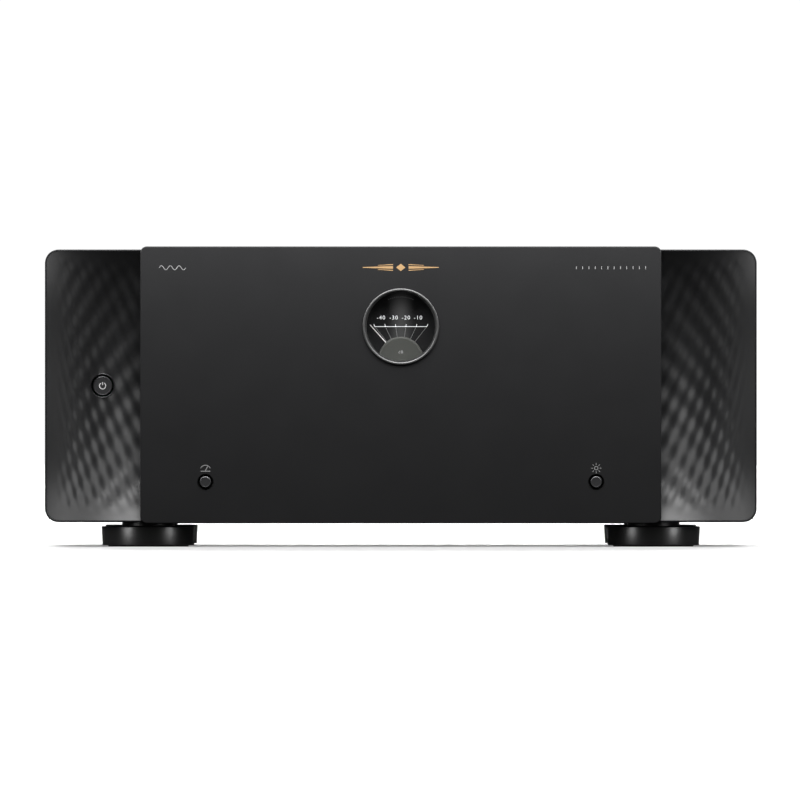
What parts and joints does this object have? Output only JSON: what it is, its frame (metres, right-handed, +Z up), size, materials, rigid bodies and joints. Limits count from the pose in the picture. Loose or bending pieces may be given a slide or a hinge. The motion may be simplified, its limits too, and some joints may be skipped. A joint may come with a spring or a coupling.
{
  "type": "power amplifier",
  "caption": "Full-width home power amplifier: flat front plate between scooped wave-textured side panels, round needle meter, push buttons, slotted cover, rear speaker posts and line inputs.",
  "frame": {"origin": "on the surface that the amplifier stands on, midway across its width and its whole depth", "axes": "+Z up, +Y from the front plate towards the connectors, +X to the right as seen from the front"},
  "size_m": [0.442, 0.453, 0.1865],
  "materials": {
    "plate_aluminium": "black anodised, fine satin grain",
    "panel_resin": "black, moulded in waves, satin gloss",
    "fascia_resin": "black, fine texture",
    "light_guide": "clear, frosted face",
    "button_metal": "black anodised, turned",
    "ring_metal": "dark anodised, polished edge",
    "bezel_metal": "turned and polished",
    "meter_glass": "clear, polished",
    "dial_face": "black print with pale scale marks",
    "mask_grey": "dark grey, soft sheen",
    "needle_metal": "pale satin",
    "black_resin": "black moulded",
    "case_steel": "black powder coat, fine texture",
    "screw_steel": "black oxide",
    "foot_resin": "black, turned, with a soft pad",
    "nickel": "bright nickel plate",
    "terminal_metal": "gold-flashed brass",
    "red_resin": "translucent red with a metal core",
    "cap_black_resin": "black with a metal core",
    "white_resin": "white moulded",
    "board_laminate": "green laminate with parts",
    "bare_aluminium": "extruded, bare"
  },
  "bodies": {
    "chassis": {"front_plate": "plate_aluminium", "fascia_frame": "fascia_resin", "wave_panel_left": "panel_resin", "wave_panel_right": "panel_resin", "edge_light_guides": "light_guide", "button_rings": "ring_metal", "control_boards": "board_laminate", "meter_bezel": "bezel_metal", "meter_window": "meter_glass", "meter_housing": "black_resin", "meter_dial": "dial_face", "meter_mask": "mask_grey", "meter_movement": "black_resin", "base_tray": "case_steel", "top_cover": "case_steel", "rear_panel": "case_steel", "case_screws": "screw_steel", "feet": "foot_resin", "xlr_sockets": "black_resin", "signal_jacks": "terminal_metal", "binding_posts": "nickel", "mains_inlet": "black_resin", "input_board": "board_laminate", "heat_sinks": "bare_aluminium", "amplifier_boards": "board_laminate", "power_supply": "board_laminate"},
    "power_button": {"power_button": "button_metal"},
    "meter_button": {"meter_button": "button_metal"},
    "dimmer_button": {"dimmer_button": "button_metal"},
    "meter_needle": {"meter_needle": "needle_metal"},
    "speaker_cap_01_plus": {"speaker_cap_01_plus": "red_resin"},
    "speaker_cap_01_minus": {"speaker_cap_01_minus": "cap_black_resin"},
    "speaker_cap_02_plus": {"speaker_cap_02_plus": "red_resin"},
    "speaker_cap_02_minus": {"speaker_cap_02_minus": "cap_black_resin"},
    "speaker_cap_03_plus": {"speaker_cap_03_plus": "red_resin"},
    "speaker_cap_03_minus": {"speaker_cap_03_minus": "cap_black_resin"},
    "speaker_cap_04_plus": {"speaker_cap_04_plus": "red_resin"},
    "speaker_cap_04_minus": {"speaker_cap_04_minus": "cap_black_resin"},
    "speaker_cap_05_plus": {"speaker_cap_05_plus": "red_resin"},
    "speaker_cap_05_minus": {"speaker_cap_05_minus": "cap_black_resin"},
    "speaker_cap_06_plus": {"speaker_cap_06_plus": "red_resin"},
    "speaker_cap_06_minus": {"speaker_cap_06_minus": "cap_black_resin"},
    "speaker_cap_07_plus": {"speaker_cap_07_plus": "red_resin"},
    "speaker_cap_07_minus": {"speaker_cap_07_minus": "cap_black_resin"},
    "speaker_cap_08_plus": {"speaker_cap_08_plus": "red_resin"},
    "speaker_cap_08_minus": {"speaker_cap_08_minus": "cap_black_resin"},
    "speaker_cap_09_plus": {"speaker_cap_09_plus": "red_resin"},
    "speaker_cap_09_minus": {"speaker_cap_09_minus": "cap_black_resin"},
    "speaker_cap_10_plus": {"speaker_cap_10_plus": "red_resin"},
    "speaker_cap_10_minus": {"speaker_cap_10_minus": "cap_black_resin"},
    "speaker_cap_11_plus": {"speaker_cap_11_plus": "red_resin"},
    "speaker_cap_11_minus": {"speaker_cap_11_minus": "cap_black_resin"},
    "speaker_cap_12_plus": {"speaker_cap_12_plus": "red_resin"},
    "speaker_cap_12_minus": {"speaker_cap_12_minus": "cap_black_resin"},
    "mode_switch_knob_1": {"mode_switch_knob_1": "white_resin"},
    "mode_switch_knob_2": {"mode_switch_knob_2": "white_resin"},
    "mode_switch_knob_3": {"mode_switch_knob_3": "white_resin"},
    "mode_switch_knob_4": {"mode_switch_knob_4": "white_resin"},
    "mode_switch_knob_5": {"mode_switch_knob_5": "white_resin"},
    "mode_switch_knob_6": {"mode_switch_knob_6": "white_resin"}
  },
  "joints": [
    {"name": "power_button_press", "type": "slide", "parent": "chassis", "child": "power_button", "axis": [0, 1, 0], "range_m": [0, 0.0015], "stiffness_N_per_m": 700, "springref_m": -0.0005},
    {"name": "meter_button_press", "type": "slide", "parent": "chassis", "child": "meter_button", "axis": [0, 1, 0], "range_m": [0, 0.0012], "stiffness_N_per_m": 500, "springref_m": -0.0005},
    {"name": "dimmer_button_press", "type": "slide", "parent": "chassis", "child": "dimmer_button", "axis": [0, 1, 0], "range_m": [0, 0.0012], "stiffness_N_per_m": 500, "springref_m": -0.0005},
    {"name": "meter_needle_swing", "type": "hinge", "parent": "chassis", "child": "meter_needle", "pos_m": [0, -0.2185, 0.1164], "axis": [0, 1, 0], "range_deg": [0, 82], "stiffness_Nm_per_rad": 0.0001},
    {"name": "speaker_cap_01_plus_turn", "type": "hinge", "parent": "chassis", "child": "speaker_cap_01_plus", "pos_m": [-0.2, 0.2125, 0.07], "axis": [0, -1, 0], "range_deg": [0, 1260]},
    {"name": "speaker_cap_01_minus_turn", "type": "hinge", "parent": "chassis", "child": "speaker_cap_01_minus", "pos_m": [-0.2, 0.2125, 0.038], "axis": [0, -1, 0], "range_deg": [0, 1260]},
    {"name": "speaker_cap_02_plus_turn", "type": "hinge", "parent": "chassis", "child": "speaker_cap_02_plus", "pos_m": [-0.169, 0.2125, 0.07], "axis": [0, -1, 0], "range_deg": [0, 1260]},
    {"name": "speaker_cap_02_minus_turn", "type": "hinge", "parent": "chassis", "child": "speaker_cap_02_minus", "pos_m": [-0.169, 0.2125, 0.038], "axis": [0, -1, 0], "range_deg": [0, 1260]},
    {"name": "speaker_cap_03_plus_turn", "type": "hinge", "parent": "chassis", "child": "speaker_cap_03_plus", "pos_m": [-0.138, 0.2125, 0.07], "axis": [0, -1, 0], "range_deg": [0, 1260]},
    {"name": "speaker_cap_03_minus_turn", "type": "hinge", "parent": "chassis", "child": "speaker_cap_03_minus", "pos_m": [-0.138, 0.2125, 0.038], "axis": [0, -1, 0], "range_deg": [0, 1260]},
    {"name": "speaker_cap_04_plus_turn", "type": "hinge", "parent": "chassis", "child": "speaker_cap_04_plus", "pos_m": [-0.107, 0.2125, 0.07], "axis": [0, -1, 0], "range_deg": [0, 1260]},
    {"name": "speaker_cap_04_minus_turn", "type": "hinge", "parent": "chassis", "child": "speaker_cap_04_minus", "pos_m": [-0.107, 0.2125, 0.038], "axis": [0, -1, 0], "range_deg": [0, 1260]},
    {"name": "speaker_cap_05_plus_turn", "type": "hinge", "parent": "chassis", "child": "speaker_cap_05_plus", "pos_m": [-0.076, 0.2125, 0.07], "axis": [0, -1, 0], "range_deg": [0, 1260]},
    {"name": "speaker_cap_05_minus_turn", "type": "hinge", "parent": "chassis", "child": "speaker_cap_05_minus", "pos_m": [-0.076, 0.2125, 0.038], "axis": [0, -1, 0], "range_deg": [0, 1260]},
    {"name": "speaker_cap_06_plus_turn", "type": "hinge", "parent": "chassis", "child": "speaker_cap_06_plus", "pos_m": [-0.045, 0.2125, 0.07], "axis": [0, -1, 0], "range_deg": [0, 1260]},
    {"name": "speaker_cap_06_minus_turn", "type": "hinge", "parent": "chassis", "child": "speaker_cap_06_minus", "pos_m": [-0.045, 0.2125, 0.038], "axis": [0, -1, 0], "range_deg": [0, 1260]},
    {"name": "speaker_cap_07_plus_turn", "type": "hinge", "parent": "chassis", "child": "speaker_cap_07_plus", "pos_m": [-0.014, 0.2125, 0.07], "axis": [0, -1, 0], "range_deg": [0, 1260]},
    {"name": "speaker_cap_07_minus_turn", "type": "hinge", "parent": "chassis", "child": "speaker_cap_07_minus", "pos_m": [-0.014, 0.2125, 0.038], "axis": [0, -1, 0], "range_deg": [0, 1260]},
    {"name": "speaker_cap_08_plus_turn", "type": "hinge", "parent": "chassis", "child": "speaker_cap_08_plus", "pos_m": [0.017, 0.2125, 0.07], "axis": [0, -1, 0], "range_deg": [0, 1260]},
    {"name": "speaker_cap_08_minus_turn", "type": "hinge", "parent": "chassis", "child": "speaker_cap_08_minus", "pos_m": [0.017, 0.2125, 0.038], "axis": [0, -1, 0], "range_deg": [0, 1260]},
    {"name": "speaker_cap_09_plus_turn", "type": "hinge", "parent": "chassis", "child": "speaker_cap_09_plus", "pos_m": [0.048, 0.2125, 0.07], "axis": [0, -1, 0], "range_deg": [0, 1260]},
    {"name": "speaker_cap_09_minus_turn", "type": "hinge", "parent": "chassis", "child": "speaker_cap_09_minus", "pos_m": [0.048, 0.2125, 0.038], "axis": [0, -1, 0], "range_deg": [0, 1260]},
    {"name": "speaker_cap_10_plus_turn", "type": "hinge", "parent": "chassis", "child": "speaker_cap_10_plus", "pos_m": [0.079, 0.2125, 0.07], "axis": [0, -1, 0], "range_deg": [0, 1260]},
    {"name": "speaker_cap_10_minus_turn", "type": "hinge", "parent": "chassis", "child": "speaker_cap_10_minus", "pos_m": [0.079, 0.2125, 0.038], "axis": [0, -1, 0], "range_deg": [0, 1260]},
    {"name": "speaker_cap_11_plus_turn", "type": "hinge", "parent": "chassis", "child": "speaker_cap_11_plus", "pos_m": [0.11, 0.2125, 0.07], "axis": [0, -1, 0], "range_deg": [0, 1260]},
    {"name": "speaker_cap_11_minus_turn", "type": "hinge", "parent": "chassis", "child": "speaker_cap_11_minus", "pos_m": [0.11, 0.2125, 0.038], "axis": [0, -1, 0], "range_deg": [0, 1260]},
    {"name": "speaker_cap_12_plus_turn", "type": "hinge", "parent": "chassis", "child": "speaker_cap_12_plus", "pos_m": [0.141, 0.2125, 0.07], "axis": [0, -1, 0], "range_deg": [0, 1260]},
    {"name": "speaker_cap_12_minus_turn", "type": "hinge", "parent": "chassis", "child": "speaker_cap_12_minus", "pos_m": [0.141, 0.2125, 0.038], "axis": [0, -1, 0], "range_deg": [0, 1260]},
    {"name": "mode_switch_1_slide", "type": "slide", "parent": "chassis", "child": "mode_switch_knob_1", "axis": [1, 0, 0], "range_m": [-0.003, 0.003]},
    {"name": "mode_switch_2_slide", "type": "slide", "parent": "chassis", "child": "mode_switch_knob_2", "axis": [1, 0, 0], "range_m": [-0.003, 0.003]},
    {"name": "mode_switch_3_slide", "type": "slide", "parent": "chassis", "child": "mode_switch_knob_3", "axis": [1, 0, 0], "range_m": [-0.003, 0.003]},
    {"name": "mode_switch_4_slide", "type": "slide", "parent": "chassis", "child": "mode_switch_knob_4", "axis": [1, 0, 0], "range_m": [-0.003, 0.003]},
    {"name": "mode_switch_5_slide", "type": "slide", "parent": "chassis", "child": "mode_switch_knob_5", "axis": [1, 0, 0], "range_m": [-0.003, 0.003]},
    {"name": "mode_switch_6_slide", "type": "slide", "parent": "chassis", "child": "mode_switch_knob_6", "axis": [1, 0, 0], "range_m": [-0.003, 0.003]}
  ]
}
